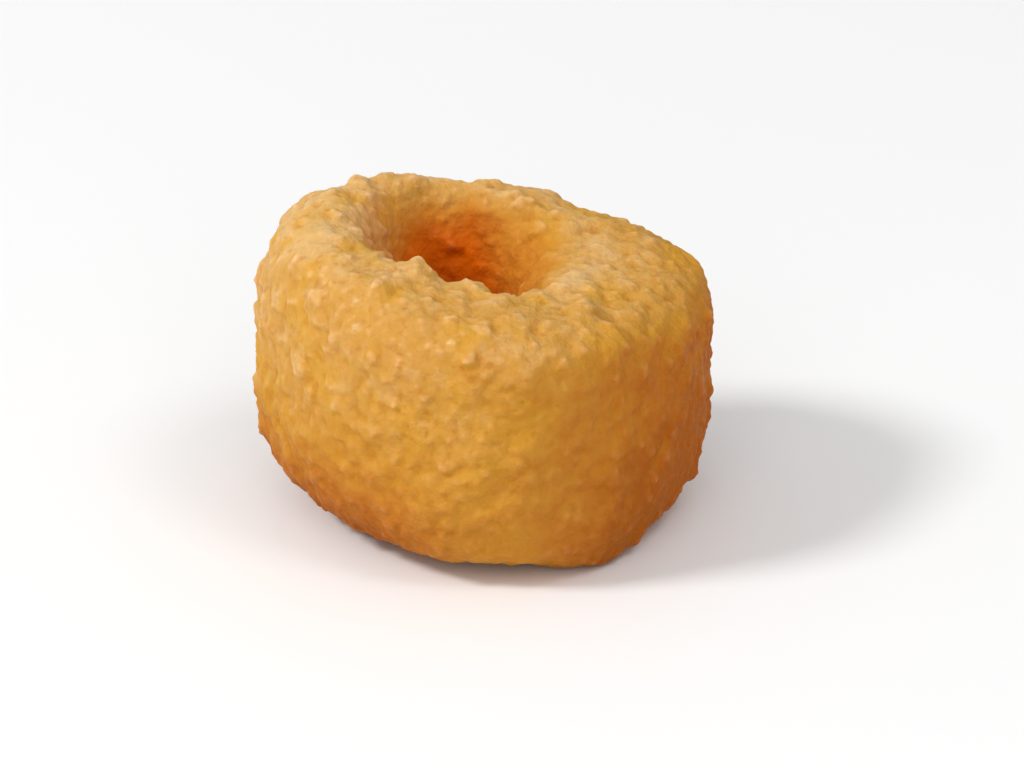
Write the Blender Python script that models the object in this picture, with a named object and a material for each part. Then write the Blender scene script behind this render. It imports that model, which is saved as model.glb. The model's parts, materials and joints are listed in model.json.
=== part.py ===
"""A cheesy potato bite: one crumbed and fried ring, in metres, +Z up.

+X is the right of the ring as it is seen from the front, and the front faces -Y.
"""

import math

import bpy
from mathutils import Vector, noise

MM = 0.001

# Driving sizes of the ring
OUTER_RADIUS = 18.75 * MM
CREST_RADIUS = 10.9 * MM
THROAT_RADIUS = 5.9 * MM
HEIGHT = 25.0 * MM
HOLE_SHIFT = Vector((-2.4 * MM, 1.7 * MM))

# Girth: slightly oval and slightly three-cornered, each turned to its own bearing
OVAL_SHARE = 0.039
OVAL_BEARING = math.radians(178)
CORNER_SHARE = 0.057
CORNER_BEARING = math.radians(32)

# The hole is a little oval too, with four soft corners, most of all at its crest
HOLE_OVAL_SHARE = 0.045
HOLE_OVAL_BEARING = math.radians(137)
HOLE_CORNER_SHARE = 0.05
HOLE_CORNER_BEARING = math.radians(22)

# The hole's wall comes further in at the right and lies further out at the back left:
# bearing in degrees, shift outward, sharpness
WALL_SHIFTS = (
    (5, -2.4 * MM, 4),
    (125, 1.5 * MM, 2),
)

# Lie of the ring: the crest falls to the right and rises a little to the back, and the
# base is nearly level but lifts off the table at the front left
CREST_FALL = Vector((-0.175, 0.035))
BASE_FALL = Vector((-0.022, 0.0))
BASE_LIFT = 1.2 * MM
BASE_LIFT_BEARING = math.radians(-128)
BASE_SHIFT = Vector((3.1 * MM, 0.7 * MM))
BASE_SUNK = 0.50 * MM

# Squareness of the section: 2 is an ellipse, more is a box with rounded corners
TOP_SQUARE = 4.2
TOP_SQUARE_SWING = 1.9
TOP_SQUARE_BEARING = math.radians(-62)
BASE_SQUARE = 2.9
BASE_SQUARE_SWING = 1.4
BASE_SQUARE_BEARING = math.radians(199)
LEAST_SQUARE = 1.5
SQUARE_BEND = 3.0
HOLE_SQUARE = 2.5
HOLE_SQUARE_SWING = 0.4
HOLE_SQUARE_BEARING = math.radians(180)

# Height of the widest line, as a share of the height of the ring
WAIST_SHARE = 0.464

# How finely the skin is divided
STEPS_ROUND = 108
STEPS_SECTION = 50
TRIAL_STEPS = 360
HOLE_STEP_WEIGHT = 0.65

# Crumb relief
CRUMB_SIZE = 2.3 * MM
CRUMB_HEIGHT = 0.60 * MM
LEAST_CRUMB_SHARE = 0.25
CRUMB_REACH = 0.75
CRUMB_BED = 0.24 * MM
SWELL_SIZE = 8.0 * MM
SWELL_HEIGHT = 0.45 * MM
HOLE_RELIEF = 0.35

# Larger lumps on the rim of the hole: bearing in degrees, distance, half width, height.
# They grow from nothing to full height over a share of the height of the ring.
RIM_LUMPS_START = 0.6
RIM_LUMPS_RISE = 0.2
RIM_LUMPS = (
    (-111, 9.0 * MM, 1.4 * MM, 1.35 * MM),
    (-82, 9.3 * MM, 1.3 * MM, 1.00 * MM),
    (-30, 12.0 * MM, 1.8 * MM, 0.45 * MM),
    (35, 11.5 * MM, 1.6 * MM, 0.50 * MM),
    (62, 12.8 * MM, 1.7 * MM, 0.45 * MM),
    (118, 11.8 * MM, 1.6 * MM, 0.40 * MM),
    (165, 11.4 * MM, 1.9 * MM, 0.50 * MM),
)


# Clear the scene

def clear_scene():
    for thing in list(bpy.data.objects):
        bpy.data.objects.remove(thing)


# Shape of the smooth ring

def swing(angle, middle, amount, bearing):
    """A value that rises and falls once round the ring."""
    return middle + amount * math.cos(angle - bearing)


def squared(value, power):
    """Bend a sine or cosine so that a round section grows squarer."""
    return math.copysign(abs(value) ** (2.0 / power), value)


def girth(angle):
    oval = OVAL_SHARE * math.cos(2 * (angle - OVAL_BEARING))
    corners = CORNER_SHARE * math.cos(3 * (angle - CORNER_BEARING))
    return OUTER_RADIUS * (1 + oval + corners)


def hole_swell(angle):
    """How much wider than round the hole's crest is at an angle, as a share."""
    oval = HOLE_OVAL_SHARE * math.cos(2 * (angle - HOLE_OVAL_BEARING))
    corners = HOLE_CORNER_SHARE * math.cos(4 * (angle - HOLE_CORNER_BEARING))
    return oval + corners


def wall_shift(angle):
    """How far outside its round line the hole's wall lies at an angle."""
    shift = 0.0
    for bearing, amount, sharpness in WALL_SHIFTS:
        facing = max(math.cos(angle - math.radians(bearing)), 0)
        shift += amount * facing ** sharpness
    return shift


def squareness(angle, outward, upward):
    if outward < 0:
        return swing(angle, HOLE_SQUARE, HOLE_SQUARE_SWING, HOLE_SQUARE_BEARING)
    if upward >= 0:
        return swing(angle, TOP_SQUARE, TOP_SQUARE_SWING, TOP_SQUARE_BEARING)
    wanted = swing(angle, BASE_SQUARE, BASE_SQUARE_SWING, BASE_SQUARE_BEARING)
    softened = math.log1p(math.exp(SQUARE_BEND * (wanted - LEAST_SQUARE))) / SQUARE_BEND
    return LEAST_SQUARE + softened


def ring_point(angle, turn):
    """The point at one angle round the ring and one turn round its section."""
    power = squareness(angle, math.cos(turn), math.sin(turn))
    outward = squared(math.cos(turn), power)
    upward = squared(math.sin(turn), power)
    rim = girth(angle)
    crest = CREST_RADIUS * (1 + hole_swell(angle))
    throat = THROAT_RADIUS * (1 + hole_swell(angle) / 2) + wall_shift(angle)
    if outward >= 0:
        reach = crest + (rim - crest) * outward
        lean = min(upward, 0) ** 2
    else:
        reach = crest + (crest - throat) * outward
        lean = (1 - upward) / 2
    place = Vector((math.cos(angle), math.sin(angle))) * reach
    place += HOLE_SHIFT * (rim - reach) / (rim - THROAT_RADIUS)
    place += BASE_SHIFT * lean
    top = HEIGHT + CREST_FALL.dot(place)
    facing_lift = max(math.cos(angle - BASE_LIFT_BEARING), 0)
    base = BASE_FALL.dot(place) + BASE_LIFT * facing_lift ** 2
    waist = HEIGHT * WAIST_SHARE
    if upward >= 0:
        level = waist + (top - waist) * upward
    else:
        level = waist + (waist - base) * upward
    return Vector((place.x, place.y, level - BASE_SUNK))


def even_section(angle):
    """Points spaced evenly round one section, a little wider apart in the hole."""
    turns = [2 * math.pi * k / TRIAL_STEPS for k in range(TRIAL_STEPS + 1)]
    trial = [ring_point(angle, turn) for turn in turns]
    run = [0.0]
    for before, after, turn in zip(trial, trial[1:], turns):
        weight = HOLE_STEP_WEIGHT if math.cos(turn) < 0 else 1.0
        run.append(run[-1] + (after - before).length * weight)
    points = []
    k = 0
    for step in range(STEPS_SECTION):
        wanted = run[-1] * step / STEPS_SECTION
        while run[k + 1] <= wanted:
            k += 1
        share = (wanted - run[k]) / (run[k + 1] - run[k])
        points.append(trial[k].lerp(trial[k + 1], share))
    return points


def add_ring(name):
    """A torus whose sections are moved onto the sections of the ring."""
    bpy.ops.mesh.primitive_torus_add(
        major_segments=STEPS_ROUND,
        minor_segments=STEPS_SECTION,
        major_radius=CREST_RADIUS,
        minor_radius=CREST_RADIUS - THROAT_RADIUS,
    )
    ring = bpy.context.object
    ring.name = name
    ring.data.name = name
    sections = []
    for step in range(STEPS_ROUND):
        sections.append(even_section(2 * math.pi * step / STEPS_ROUND))
    for vertex in ring.data.vertices:
        x, y, z = vertex.co
        angle = math.atan2(y, x)
        turn = math.atan2(z, math.hypot(x, y) - CREST_RADIUS)
        round_step = round(angle / (2 * math.pi) * STEPS_ROUND) % STEPS_ROUND
        section_step = round(turn / (2 * math.pi) * STEPS_SECTION) % STEPS_SECTION
        vertex.co = sections[round_step][section_step]
    ring.data.update()
    return ring


# Crumb relief on the skin

def crumbs(point):
    """Rounded crumbs side by side, each with its own height, part sunk in the batter."""
    distances, centres = noise.voronoi(point / CRUMB_SIZE)
    dome = max(0.0, 1 - (distances[0] / CRUMB_REACH) ** 2)
    share = LEAST_CRUMB_SHARE + (1 - LEAST_CRUMB_SHARE) * noise.cell(centres[0])
    return CRUMB_HEIGHT * dome * share - CRUMB_BED


def swell(point):
    """The slow unevenness of the coated dough."""
    return SWELL_HEIGHT * noise.noise(point / SWELL_SIZE)


def rim_lumps(point):
    """The larger lumps round the mouth of the hole, on the upper half only."""
    height = 0.0
    for bearing, distance, half_width, lump_height in RIM_LUMPS:
        angle = math.radians(bearing)
        x = HOLE_SHIFT.x + distance * math.cos(angle)
        y = HOLE_SHIFT.y + distance * math.sin(angle)
        away = math.hypot(point.x - x, point.y - y) / half_width
        height += lump_height * math.exp(-away ** 2)
    upper = (point.z / HEIGHT - RIM_LUMPS_START) / RIM_LUMPS_RISE
    return height * min(max(upper, 0), 1)


def skin_share(point):
    """Full relief outside, less of it down the hole."""
    distance = math.hypot(point.x - HOLE_SHIFT.x, point.y - HOLE_SHIFT.y)
    outside = (distance - THROAT_RADIUS) / (CREST_RADIUS - THROAT_RADIUS)
    return HOLE_RELIEF + (1 - HOLE_RELIEF) * min(max(outside, 0), 1)


def add_relief(ring):
    """Push the skin out along its own normals."""
    moves = []
    for vertex in ring.data.vertices:
        point = vertex.co.copy()
        height = (crumbs(point) + swell(point)) * skin_share(point)
        moves.append(vertex.normal * (height + rim_lumps(point)))
    for vertex, move in zip(ring.data.vertices, moves):
        vertex.co += move
    ring.data.update()


# Base, where the ring has settled flat

def settle(ring):
    """Flatten what lies below the table and centre the ring over its base."""
    vertices = ring.data.vertices
    for vertex in vertices:
        vertex.co.z = max(vertex.co.z, 0.0)
    xs = [vertex.co.x for vertex in vertices]
    ys = [vertex.co.y for vertex in vertices]
    centre = Vector((min(xs) + max(xs), min(ys) + max(ys), 0)) / 2
    for vertex in vertices:
        vertex.co -= centre
    ring.data.update()


# Fried crust

def crust_material():
    material = bpy.data.materials.new("fried_crust")
    material.use_nodes = True
    shader = material.node_tree.nodes["Principled BSDF"]
    shader.inputs["Base Color"].default_value = (0.68, 0.32, 0.065, 1)
    shader.inputs["Roughness"].default_value = 0.55
    return material


# The finished bite in its own collection

clear_scene()
bite_collection = bpy.data.collections.new("cheesy_potato_bite")
bpy.context.scene.collection.children.link(bite_collection)

bite = add_ring("potato_ring")
add_relief(bite)
settle(bite)
bite.data.materials.append(crust_material())
for owner in list(bite.users_collection):
    owner.objects.unlink(bite)
bite_collection.objects.link(bite)
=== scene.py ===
"""A cheesy potato bite, one crumbed and fried ring, dressed for a studio photograph."""

import json
import math

import bpy
import numpy as np
from mathutils import Matrix, Vector, noise


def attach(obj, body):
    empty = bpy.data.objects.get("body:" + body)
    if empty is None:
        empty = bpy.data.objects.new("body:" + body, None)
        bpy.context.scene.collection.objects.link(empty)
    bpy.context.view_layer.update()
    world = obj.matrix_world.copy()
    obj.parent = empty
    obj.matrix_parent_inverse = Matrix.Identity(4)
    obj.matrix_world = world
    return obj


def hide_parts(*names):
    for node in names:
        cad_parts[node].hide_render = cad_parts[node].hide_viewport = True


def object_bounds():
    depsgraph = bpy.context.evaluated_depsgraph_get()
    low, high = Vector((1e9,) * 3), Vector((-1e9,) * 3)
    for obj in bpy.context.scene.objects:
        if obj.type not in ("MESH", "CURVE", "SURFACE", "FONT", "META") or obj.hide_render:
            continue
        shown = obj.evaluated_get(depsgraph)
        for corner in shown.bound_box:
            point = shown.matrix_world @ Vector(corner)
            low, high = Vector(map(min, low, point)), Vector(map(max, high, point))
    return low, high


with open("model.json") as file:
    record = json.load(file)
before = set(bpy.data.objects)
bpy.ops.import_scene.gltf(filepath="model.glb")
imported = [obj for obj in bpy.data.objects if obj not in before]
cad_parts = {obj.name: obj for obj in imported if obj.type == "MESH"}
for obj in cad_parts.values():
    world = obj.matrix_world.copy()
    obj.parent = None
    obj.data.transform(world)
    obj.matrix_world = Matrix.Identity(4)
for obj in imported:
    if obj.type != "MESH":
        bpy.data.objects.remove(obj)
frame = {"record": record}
cad_low, cad_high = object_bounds()

MM = 0.001


# Camera
# A long lens looks down on the ring from the front at 24 degrees, close enough for the
# ring to take up nearly half the width of the picture.

CAMERA_HEIGHT = math.radians(24)
CAMERA_AWAY = 0.9
VIEW_WIDTH = 88 * MM
SENSOR_WIDTH = 36.0
AIM = Vector((2.5 * MM, 0, 12.0 * MM))


def deselect():
    for thing in bpy.context.selected_objects:
        thing.select_set(False)


def look_at(thing, target):
    direction = target - thing.location
    thing.rotation_euler = direction.to_track_quat("-Z", "Y").to_euler()


deselect()
bpy.ops.object.camera_add()
camera = bpy.context.object
camera.name = "camera"
toward_camera = Vector((0, -math.cos(CAMERA_HEIGHT), math.sin(CAMERA_HEIGHT)))
camera.location = AIM + toward_camera * CAMERA_AWAY
look_at(camera, AIM)
camera.data.sensor_width = SENSOR_WIDTH
camera.data.lens = SENSOR_WIDTH * CAMERA_AWAY / VIEW_WIDTH
bpy.context.scene.camera = camera
bpy.context.scene.view_settings.view_transform = "Standard"


# Table and studio light
# A plain white table, one soft lamp from the left, a wide panel in front, a weak lamp high at
# the right that reaches down the hole, and an even white room.

KEY_BEARING = math.radians(198)
KEY_HEIGHT = math.radians(43)
KEY_AWAY = 1.2
KEY_SIZE = 0.28
KEY_POWER = 8.2
PANEL_BEARING = math.radians(270)
PANEL_HEIGHT = math.radians(34)
PANEL_AWAY = 1.4
PANEL_SIZE = 1.2
PANEL_POWER = 7.4
FILL_BEARING = math.radians(322)
FILL_HEIGHT = math.radians(58)
FILL_AWAY = 1.2
FILL_SIZE = 0.4
FILL_POWER = 2.2
ROOM_STRENGTH = 0.48
TABLE_SIZE = 6.0
TABLE_GAP = 0.05 * MM


class Socket:
    """A node's output that takes part in plain arithmetic."""

    def __init__(self, finish, output):
        self.finish = finish
        self.output = output

    def maths(self, operation, first, second=0.0):
        return self.finish.node(
            "ShaderNodeMath", {"operation": operation}, {0: first, 1: second}
        )

    def __add__(self, other):
        return self.maths("ADD", self, other)

    def __radd__(self, other):
        return self.maths("ADD", other, self)

    def __sub__(self, other):
        return self.maths("SUBTRACT", self, other)

    def __rsub__(self, other):
        return self.maths("SUBTRACT", other, self)

    def __mul__(self, other):
        return self.maths("MULTIPLY", self, other)

    def __rmul__(self, other):
        return self.maths("MULTIPLY", other, self)


class Finish:
    """A material, with its nodes added one at a time."""

    def __init__(self, name):
        self.material = bpy.data.materials.new(name)
        self.material.use_nodes = True
        self.tree = self.material.node_tree
        self.shader = self.tree.nodes["Principled BSDF"]

    def node(self, kind, settings, sockets, output=0):
        """Add a node, set it up, then give its sockets their values or links."""
        made = self.tree.nodes.new(kind)
        for setting, value in settings.items():
            if setting == "stops":
                self.set_stops(made.color_ramp.elements, value)
            else:
                setattr(made, setting, value)
        for socket, value in sockets.items():
            self.feed(made.inputs[socket], value)
        return Socket(self, made.outputs[output])

    def set_stops(self, elements, stops):
        while len(elements) < len(stops):
            elements.new(1.0)
        for element, (place, shade) in zip(elements, stops):
            element.position = place
            element.color = shade

    def feed(self, socket, value):
        if isinstance(value, Socket):
            self.tree.links.new(value.output, socket)
        else:
            socket.default_value = value

    def set(self, **constants):
        """Set the shader's own sockets, their names written with underscores."""
        for name, value in constants.items():
            self.shader.inputs[name.replace("_", " ")].default_value = value

    def noise(self, size, detail, roughness=0.5):
        """Cloudy noise whose patches are about as wide as size, in metres."""
        place = self.node("ShaderNodeTexCoord", {}, {}, output="Object")
        return self.node(
            "ShaderNodeTexNoise",
            {},
            {"Vector": place, "Scale": 1 / size, "Detail": detail, "Roughness": roughness},
        )

    def cells(self, size):
        """How far each spot is from the middle of the nearest grain."""
        place = self.node("ShaderNodeTexCoord", {}, {}, output="Object")
        return self.node(
            "ShaderNodeTexVoronoi", {}, {"Vector": place, "Scale": 1 / size, "Randomness": 1.0}
        )

    def attribute(self, name):
        return self.node("ShaderNodeAttribute", {"attribute_name": name}, {}, output="Fac")

    def band(self, value, low, high, to_low=0.0, to_high=1.0):
        """Stretch a value from one range to another, held at the ends."""
        return self.node(
            "ShaderNodeMapRange",
            {"interpolation_type": "SMOOTHSTEP"},
            {"Value": value, "From Min": low, "From Max": high,
             "To Min": to_low, "To Max": to_high},
        )

    def ramp(self, value, *stops):
        return self.node("ShaderNodeValToRGB", {"stops": stops}, {"Fac": value})

    def mix(self, factor, first, second):
        return self.node(
            "ShaderNodeMix", {"data_type": "RGBA"}, {0: factor, 6: first, 7: second},
            output=2,
        )


def table_finish():
    finish = Finish("white_table")
    finish.set(Base_Color=(0.88, 0.88, 0.88, 1), Roughness=0.6)
    return finish.material


def add_lamp(name, shape, size, power, bearing, height, away):
    """A lamp that shines on the ring from a bearing and a height, both as angles."""
    deselect()
    level = Vector((math.cos(bearing), math.sin(bearing), 0)) * math.cos(height)
    place = (level + Vector((0, 0, math.sin(height)))) * away
    bpy.ops.object.light_add(type="AREA", location=place)
    lamp = bpy.context.object
    lamp.name = name
    lamp.data.shape = shape
    lamp.data.size = size
    lamp.data.energy = power
    look_at(lamp, Vector((0, 0, (cad_low[2] + cad_high[2]) / 2)))


deselect()
bpy.ops.mesh.primitive_plane_add(size=TABLE_SIZE, location=(0, 0, -TABLE_GAP))
table = bpy.context.object
table.name = "table"
table.data.materials.append(table_finish())

add_lamp("key_lamp", "DISK", KEY_SIZE, KEY_POWER, KEY_BEARING, KEY_HEIGHT, KEY_AWAY)
add_lamp("front_panel", "SQUARE", PANEL_SIZE, PANEL_POWER, PANEL_BEARING, PANEL_HEIGHT,
         PANEL_AWAY)
add_lamp("fill_lamp", "DISK", FILL_SIZE, FILL_POWER, FILL_BEARING, FILL_HEIGHT, FILL_AWAY)

room = bpy.data.worlds.new("room")
room.use_nodes = True
room.node_tree.nodes["Background"].inputs["Color"].default_value = (1, 1, 1, 1)
room.node_tree.nodes["Background"].inputs["Strength"].default_value = ROOM_STRENGTH
bpy.context.scene.world = room


# Crust
# The batter and coarse crumb coating, fried to one golden shell round the cheesy potato.
# The solid ring gets rounded crumbs pressed into its skin, and both are fused into one.

SKIN_LEVELS = 2
CRUMB_KINDS = 6
CRUMB_DIVISIONS = 2
KIND_STEPS = (3.7, 1.3)
LUMPS_PER_CRUMB = 1.9
LUMP_SHARE = 0.55
CHIPS_PER_CRUMB = 4.5
CHIP_SHARE = 0.22
CRUMB_LENGTH = (0.8, 1.5)
CRUMB_WIDTH = (0.8, 1.2)
CRUMB_THICKNESS = (0.45, 0.8)
MOSTLY_SMALL = 1.6
COARSE_COUNT = 420
COARSE_SMALL = 1.2 * MM
COARSE_LARGE = 2.8 * MM
COARSE_SEED = 3
COARSE_SINK = 0.1
FINE_COUNT = 5200
FINE_SMALL = 0.55 * MM
FINE_LARGE = 1.3 * MM
FINE_SEED = 19
FINE_SINK = 0.04
FUSE_SIZE = 0.28 * MM
FUSE_SMOOTHING = 0.5
GRAIN_SIZE = 0.95 * MM
GRAIN_HEIGHT = 0.30 * MM
GRAIN_MIDDLE = 0.45
GRAIN_SMOOTHING = 0.3
LEVELLING = 30
LEVEL_SMOOTHING = 0.5
HOLE_REACH = 13 * MM
HOLE_EDGE = 3 * MM
CREST_LEVEL = 24.5 * MM
CREST_FALL = Vector((-0.175, 0.035, 0))

# How brown the crust is painted, from 0 to 1: on the outer wall, on the crest and in the hole,
# and how much browner or paler it grows toward each side. Besides real toasting this holds
# painted shade, browner on the right side, low down and in the hole, and painted light, paler
# on the crest and on the hole's left wall
WALL_TOAST = 0.38
WALL_FRONT = 0.14
# Painted shade: the wall browner toward the right, away from the lamp
WALL_RIGHT_SHADE = 0.5
# Real toasting at the base and painted shade: browner low down at the left
WALL_FOOT_TOAST_AND_SHADE = 0.62
# Painted shade low down at the right and at the far right edge
WALL_FOOT_RIGHT_SHADE = 0.14
WALL_FAR_RIGHT_SHADE = 0.1
# The crest is palest, partly by lighter toasting and partly as painted light from above
CREST_TOAST_AND_TOP_LIGHT = 0.05
CREST_FRONT = 0.3
CREST_BACK = 0.15
# Painted shade: the crest browner toward the right
CREST_RIGHT_SHADE = 0.5
RIM_RIGHT = 0.3
# Painted shade down the hole, with some toasting, deepest where it is sheltered
HOLE_TOAST_AND_SHADE = 0.65
HOLE_SHELTERED_SHADE = 0.25
# Painted light: the hole's left wall paler
HOLE_LEFT_PAINTED_LIGHT = -0.5
TOAST_AND_SHADE_DEPTH = 1.5 * MM
TOAST_AND_SHADE_DEPTH_LEFT = 2.5 * MM

# Painted amber glow, standing for shade and orange light reflected down the hole and at the far
# right: where it starts and is full down the hole, and how strong elsewhere
PAINTED_GLOW_START = 1.2 * MM
PAINTED_GLOW_DEPTH = 5 * MM
PAINTED_GLOW_STRETCH = 1.6
LEFT_WALL_DEPTH = 1.2 * MM
LEFT_WALL_PAINTED_GLOW = 0.28
FAR_RIGHT_PAINTED_GLOW = 0.15

hole_box = frame["record"]["physics"]["openings"][0]["box_m"]
HOLE_X = (hole_box[0][0] + hole_box[1][0]) / 2
HOLE_Y = (hole_box[0][1] + hole_box[1][1]) / 2


def new_copy(original, name):
    """A copy of an object with its own mesh, its doubles merged, the only thing selected."""
    deselect()
    copy = bpy.data.objects.new(name, original.data.copy())
    bpy.context.scene.collection.objects.link(copy)
    copy.select_set(True)
    bpy.context.view_layer.objects.active = copy
    bpy.ops.object.mode_set(mode="EDIT")
    bpy.ops.mesh.select_all(action="SELECT")
    bpy.ops.mesh.remove_doubles(threshold=0.002 * MM)
    bpy.ops.object.mode_set(mode="OBJECT")
    return copy


def apply_modifier(thing, kind, **settings):
    """Add a modifier, set it and apply it."""
    deselect()
    thing.select_set(True)
    bpy.context.view_layer.objects.active = thing
    modifier = thing.modifiers.new(kind.lower(), kind)
    for setting, value in settings.items():
        setattr(modifier, setting, value)
    bpy.ops.object.modifier_apply(modifier=modifier.name)


def raise_grains(thing):
    """Raise packed grains: the texture grows from the middle of each to the gaps between,
    so the skin goes in as it grows."""
    texture = bpy.data.textures.new("grains", "VORONOI")
    texture.noise_scale = GRAIN_SIZE
    apply_modifier(thing, "DISPLACE", texture=texture, strength=-GRAIN_HEIGHT,
                   mid_level=GRAIN_MIDDLE, texture_coords="LOCAL")


def crumb_kind(number):
    """Corners and faces of one crumb 1 m wide: a ball pushed into an uneven lump."""
    deselect()
    bpy.ops.mesh.primitive_ico_sphere_add(subdivisions=CRUMB_DIVISIONS, radius=0.5)
    crumb = bpy.context.object
    shift = Vector((number * KIND_STEPS[0], number * KIND_STEPS[1], 0))
    for vertex in crumb.data.vertices:
        lump = noise.noise(vertex.co * LUMPS_PER_CRUMB + shift)
        chip = noise.noise(vertex.co * CHIPS_PER_CRUMB + shift)
        vertex.co *= 1 + LUMP_SHARE * lump + CHIP_SHARE * chip
    corners = np.array([vertex.co[:] for vertex in crumb.data.vertices])
    faces = np.array([face.vertices[:] for face in crumb.data.polygons])
    bpy.data.objects.remove(crumb)
    return corners, faces


def scatter(name, skin, kinds, count, small, large, seed, share_at, sink):
    """Crumbs on a skin as one mesh, each turned at random and pressed in by a share of
    its size."""
    draw = np.random.default_rng(seed)
    skin_faces = skin.data.polygons
    weights = np.array([face.area * share_at(face.center, face.normal)
                        for face in skin_faces])
    chosen = draw.choice(len(skin_faces), size=count, p=weights / weights.sum())
    all_corners = []
    all_faces = []
    first = 0
    for index in chosen:
        face = skin_faces[int(index)]
        outline = [skin.data.vertices[v].co for v in face.vertices]
        shares = draw.dirichlet(np.ones(len(outline)))
        spot = sum((corner * share for corner, share in zip(outline, shares)), Vector())
        size = small * (large / small) ** (draw.random() ** MOSTLY_SMALL)
        spin = Matrix.Rotation(draw.uniform(0, 2 * math.pi), 3, "Z")
        tip = face.normal.to_track_quat("Z", "Y").to_matrix()
        flat = Matrix.Diagonal((draw.uniform(*CRUMB_LENGTH), draw.uniform(*CRUMB_WIDTH),
                                draw.uniform(*CRUMB_THICKNESS)))
        corners, faces = kinds[int(draw.integers(len(kinds)))]
        turn = np.array(tip @ spin @ flat) * size
        all_corners.append(corners @ turn.T + np.array(spot - face.normal * size * sink))
        all_faces.append(faces + first)
        first += len(corners)
    mesh = bpy.data.meshes.new(name)
    mesh.from_pydata(np.concatenate(all_corners).tolist(), [],
                     np.concatenate(all_faces).tolist())
    crumbs = bpy.data.objects.new(name, mesh)
    bpy.context.scene.collection.objects.link(crumbs)
    return crumbs


def join(things, name):
    deselect()
    for thing in things:
        thing.select_set(True)
    bpy.context.view_layer.objects.active = things[0]
    bpy.ops.object.join()
    things[0].name = name
    things[0].data.name = name


def ramp(value, low, high):
    """How far a value has come from low to high, held between 0 and 1."""
    return min(max((value - low) / (high - low), 0), 1)


def across_hole(spot):
    """The level line from the middle of the hole to a spot."""
    return Vector((spot.x - HOLE_X, spot.y - HOLE_Y, 0))


def in_hole(spot, facing):
    """1 on the wall of the hole, 0 on the outside of the ring."""
    across = across_hole(spot)
    inward = ramp(-facing.dot(across.normalized()), -0.1, 0.45)
    return inward * ramp(-across.length, -HOLE_REACH, HOLE_EDGE - HOLE_REACH)


def crumb_share(spot, facing):
    """Most crumbs outside and on top, few down the hole, none under the base."""
    off_base = ramp(spot.z, 0.4 * MM, 1.4 * MM)
    upward = ramp(facing.z, -0.9, -0.5)
    return (1 - 0.7 * in_hole(spot, facing)) * off_base * max(upward, 0.1)


def coarse_share(spot, facing):
    """Coarse crumbs lie mostly on top and at the left."""
    top = ramp(facing.z, 0.1, 0.7) * (1 - 0.5 * ramp(spot.x, 2 * MM, 10 * MM))
    left = ramp(-spot.x, 2 * MM, 15 * MM)
    return crumb_share(spot, facing) * (0.15 + max(top, 0.6 * left))


def keep_above_table(thing):
    for vertex in thing.data.vertices:
        vertex.co.z = max(vertex.co.z, 0.0)


def depth_in_hole(spot, facing, start, full):
    """How far down the wall of the hole a spot is: 0 to a first depth, 1 from a full one on."""
    depth = CREST_LEVEL + CREST_FALL.dot(spot) - spot.z
    return in_hole(spot, facing) * ramp(depth, start, full)


def sheltered(spot):
    """1 where the hole is best shut off from the light, less toward its left and right."""
    return ramp(spot.x, -10 * MM, -6 * MM) * ramp(-spot.x, -2.5 * MM, 1 * MM)


def left_of_hole(spot):
    """1 on the left part of the hole's back wall, where the painted shade and glow set in
    further down.
    """
    return ramp(-spot.x, 0, 3 * MM) * ramp(spot.x, -9 * MM, -6 * MM)


def toast_with_painted_light(spot, facing):
    """How brown the crust is painted: palest on top, partly as painted light from above, golden
    in front, and brownest at the right, low down and in the hole, mostly as painted shade with
    some real toasting."""
    top = ramp(facing.z, -0.1, 0.85)
    left = ramp(-spot.x, -4 * MM, 14 * MM)
    right = ramp(spot.x, -2 * MM, 12 * MM)
    front = ramp(-spot.y, 0, 16 * MM)
    low = ramp(-spot.z, -17 * MM, -3 * MM)
    near_rim = ramp(-across_hole(spot).length, -11 * MM, -8 * MM)
    # Painted shade makes the right of the wall browner
    wall = WALL_TOAST + WALL_FRONT * front * (1 - left) * (1 - right) + WALL_RIGHT_SHADE * right
    # Browner low down: toasting and painted shade at the left, painted shade at the right
    wall += WALL_FOOT_TOAST_AND_SHADE * low * ramp(-spot.x, -4 * MM, 10 * MM) + WALL_FOOT_RIGHT_SHADE * low * right
    # Painted shade at the far right
    wall += WALL_FAR_RIGHT_SHADE * ramp(spot.x, 12 * MM, 18 * MM)
    # The crest paler than the wall: partly painted light from above
    crest = CREST_TOAST_AND_TOP_LIGHT + CREST_FRONT * ramp(-spot.y, 2 * MM, 12 * MM)
    crest += CREST_BACK * ramp(spot.y, 5 * MM, 12 * MM)
    # Painted shade on the right of the crest
    crest += CREST_RIGHT_SHADE * ramp(spot.x, 7 * MM, 18 * MM)
    crest += RIM_RIGHT * ramp(spot.x, 1 * MM, 5 * MM) * near_rim
    outside = wall + (crest - wall) * top
    # Painted shade down the hole, deepest where it is sheltered
    inside = HOLE_TOAST_AND_SHADE + HOLE_SHELTERED_SHADE * sheltered(spot)
    # Painted light on the hole's left wall
    inside += HOLE_LEFT_PAINTED_LIGHT * ramp(-spot.x, 4.5 * MM, 7.5 * MM)
    full = TOAST_AND_SHADE_DEPTH + TOAST_AND_SHADE_DEPTH_LEFT * left_of_hole(spot)
    return outside + (inside - outside) * depth_in_hole(spot, facing, 0, full)


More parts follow.
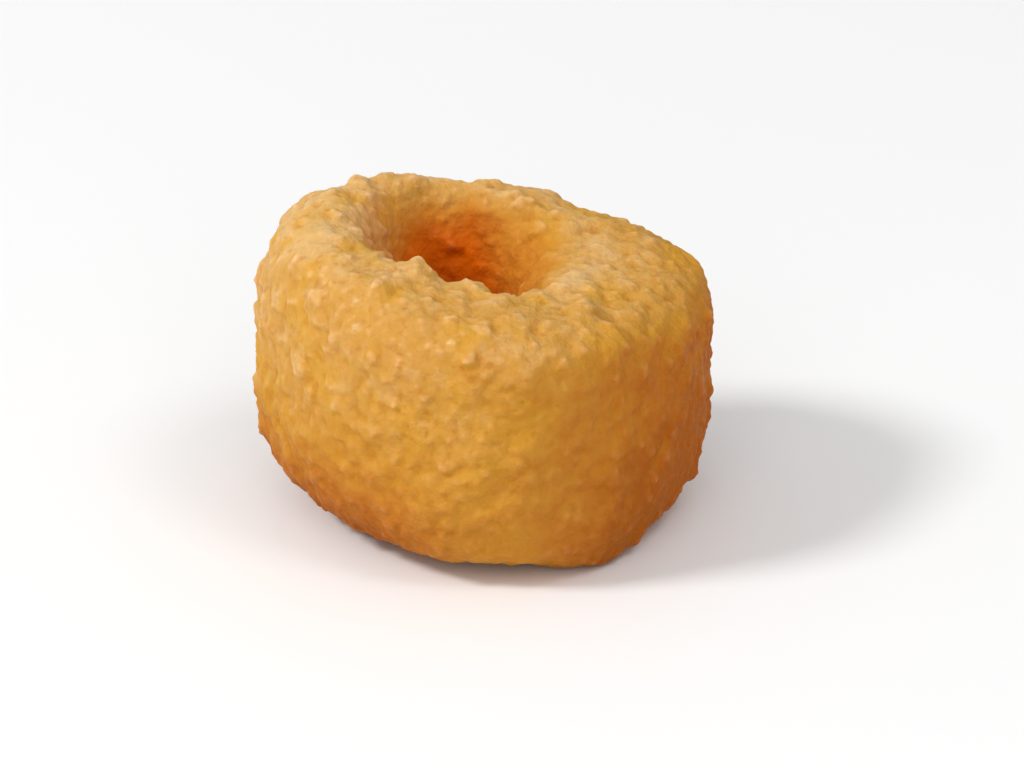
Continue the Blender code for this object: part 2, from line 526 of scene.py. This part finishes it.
def painted_amber_glow(spot, facing):
    """How much painted amber glow the crust gets, standing for shade and orange light reflected
    inside the hole: most down the hole, some on its left wall, and at the far right as painted
    reflected light."""
    edge = ramp(spot.x, 12 * MM, 20 * MM) * ramp(-facing.z, -0.6, 0)
    start = PAINTED_GLOW_START * left_of_hole(spot)
    full = PAINTED_GLOW_DEPTH * (1 + PAINTED_GLOW_STRETCH * (1 - sheltered(spot)))
    down = depth_in_hole(spot, facing, start, full)
    side = depth_in_hole(spot, facing, 0, LEFT_WALL_DEPTH) * ramp(-spot.x, 6.5 * MM, 8.5 * MM)
    return max(down, LEFT_WALL_PAINTED_GLOW * side, FAR_RIGHT_PAINTED_GLOW * edge)


def store_looks(thing):
    """Keep how far each spot stands out from the levelled skin, in millimetres, how toasted it
    is with painted shade and light mixed in, and how much painted amber glow it gets."""
    level = new_copy(thing, "level_skin")
    apply_modifier(level, "SMOOTH", factor=LEVEL_SMOOTHING, iterations=LEVELLING)
    standing = []
    toast_and_painted_light_levels = []
    painted_glow_levels = []
    for vertex, levelled in zip(thing.data.vertices, level.data.vertices):
        standing.append((vertex.co - levelled.co).dot(levelled.normal) / MM)
        toast_and_painted_light_levels.append(toast_with_painted_light(levelled.co, levelled.normal))
        painted_glow_levels.append(painted_amber_glow(levelled.co, levelled.normal))
    looks = {"relief": standing, "toast": toast_and_painted_light_levels, "amber": painted_glow_levels}
    for name, values in looks.items():
        attribute = thing.data.attributes.new(name, "FLOAT", "POINT")
        attribute.data.foreach_set("value", values)
    bpy.data.objects.remove(level)


def colour(red, green, blue):
    """A screen colour, 0 to 255 each, as the linear colour that a shader takes."""
    linear = []
    for part in (red, green, blue):
        share = part / 255
        linear.append(share / 12.92 if share <= 0.04045 else ((share + 0.055) / 1.055) ** 2.4)
    return (*linear, 1.0)


# The crust's colours, palest to brownest, reached by toasting and by painted shade and light,
# and the tints laid over them
TOAST_AND_SHADE_COLOURS = (
    (0.0, colour(214, 172, 112)),
    (0.3, colour(200, 150, 76)),
    (0.6, colour(193, 136, 50)),
    (0.85, colour(177, 106, 34)),
    (1.0, colour(160, 87, 22)),
)
PATCH_GOLD = colour(205, 149, 38)
BLOOM_CREAM = colour(222, 180, 120)
# Painted shade in the hollows between crumbs
HOLLOW_SHADE_BROWN = colour(188, 118, 22)
SPECK_BROWN = colour(176, 102, 28)
# Painted glow: shade and reflected orange light
PAINTED_GLOW_AMBER = colour(208, 94, 0)
# Pale crumb tips, partly real and partly painted highlights
TIP_CREAM_AND_GLINT = colour(229, 190, 146)

# How wide each pattern's patches are, and how strongly the plainer tints are laid on
PATCH_SIZE = 5 * MM
BLOOM_SIZE = 2.2 * MM
SPOT_SIZE = 1.3 * MM
SPECK_SIZE = 0.9 * MM
PIMPLE_SIZE = 0.45 * MM
DUST_SIZE = 0.2 * MM
SPOT_STRENGTH = 0.3
BLOOM_STRENGTH = 0.5
# The hollow tint is painted shade
HOLLOW_SHADE_STRENGTH = 0.45
SPECK_STRENGTH = 0.35
# The amber tint is painted glow
PAINTED_GLOW_STRENGTH = 0.85
PIMPLE_HEIGHT = 0.12 * MM


def crust_finish():
    """Golden crust: patches of browning, pale tips that are partly painted highlights, painted
    shade in the hollows, a painted amber glow and an oily sheen.
    """
    finish = Finish("golden_crust")
    relief = finish.attribute("relief")
    toast = finish.attribute("toast")
    amber = finish.attribute("amber")
    patches = finish.noise(PATCH_SIZE, detail=2)
    bloom = finish.noise(BLOOM_SIZE, detail=3, roughness=0.6)
    spots = finish.noise(SPOT_SIZE, detail=3, roughness=0.6)
    specks = finish.noise(SPECK_SIZE, detail=1)
    pimples = 1 - finish.cells(PIMPLE_SIZE)
    dust = finish.noise(DUST_SIZE, detail=3, roughness=0.6)
    pale = finish.band(toast, 0.7, 0.1) * (1 - amber)
    # The ramp's browns stand for toasting and for painted shade, its pale end partly for
    # painted light
    base = finish.ramp(toast + SPOT_STRENGTH * (spots - 0.5), *TOAST_AND_SHADE_COLOURS)
    layers = (
        (finish.band(patches, 0.44, 0.64) * (0.68 - toast * 0.7), PATCH_GOLD),
        (finish.band(bloom, 0.5, 0.66) * pale * BLOOM_STRENGTH, BLOOM_CREAM),
        # Painted shade: the hollows between crumbs darker
        (finish.band(relief, 0.0, -0.16) * HOLLOW_SHADE_STRENGTH, HOLLOW_SHADE_BROWN),
        (finish.band(specks, 0.58, 0.76) * SPECK_STRENGTH, SPECK_BROWN),
        # Painted glow down the hole, on its left wall and at the far right
        (amber * PAINTED_GLOW_STRENGTH, PAINTED_GLOW_AMBER),
        # Pale tips: partly paler crumbs, partly painted highlights
        (finish.band(relief, 0.04, 0.26) * (0.1 + pale * 0.6), TIP_CREAM_AND_GLINT),
    )
    for share, tint in layers:
        base = finish.mix(share, base, tint)
    bump = finish.node(
        "ShaderNodeBump", {},
        {"Strength": 0.6, "Distance": PIMPLE_HEIGHT, "Height": pimples + dust},
    )
    sheen = finish.band(bloom, 0.45, 0.65) * (0.05 + pale * 0.35)
    finish.feed(finish.shader.inputs["Base Color"], base)
    finish.feed(finish.shader.inputs["Roughness"], finish.band(spots, 0.35, 0.7, 0.42, 0.68))
    finish.feed(finish.shader.inputs["Normal"], bump)
    finish.feed(finish.shader.inputs["Coat Weight"], sheen)
    finish.set(Subsurface_Weight=0.4, Subsurface_Radius=(1.0, 0.45, 0.12),
               Subsurface_Scale=1.4 * MM, Specular_IOR_Level=0.03, Coat_Roughness=0.27)
    return finish.material


def finish_piece(thing, material):
    """Smooth shading, the material, and what the frame has to know of the piece."""
    thing.data.materials.clear()
    thing.data.materials.append(material)
    deselect()
    thing.select_set(True)
    bpy.context.view_layer.objects.active = thing
    bpy.ops.object.shade_smooth()
    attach(thing, "root")
    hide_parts("potato_ring")


ring = bpy.data.objects["potato_ring"]
crust = new_copy(ring, "crust")
apply_modifier(crust, "SUBSURF", levels=SKIN_LEVELS, render_levels=SKIN_LEVELS)
kinds = [crumb_kind(number) for number in range(CRUMB_KINDS)]
coarse = scatter("coarse_crumbs", crust, kinds, COARSE_COUNT, COARSE_SMALL, COARSE_LARGE,
                 COARSE_SEED, coarse_share, COARSE_SINK)
fine = scatter("fine_crumbs", crust, kinds, FINE_COUNT, FINE_SMALL, FINE_LARGE,
               FINE_SEED, crumb_share, FINE_SINK)
join([crust, coarse, fine], "crust")
apply_modifier(crust, "REMESH", mode="VOXEL", voxel_size=FUSE_SIZE)
apply_modifier(crust, "SMOOTH", factor=FUSE_SMOOTHING, iterations=1)
raise_grains(crust)
apply_modifier(crust, "SMOOTH", factor=GRAIN_SMOOTHING, iterations=1)
keep_above_table(crust)
store_looks(crust)
finish_piece(crust, crust_finish())
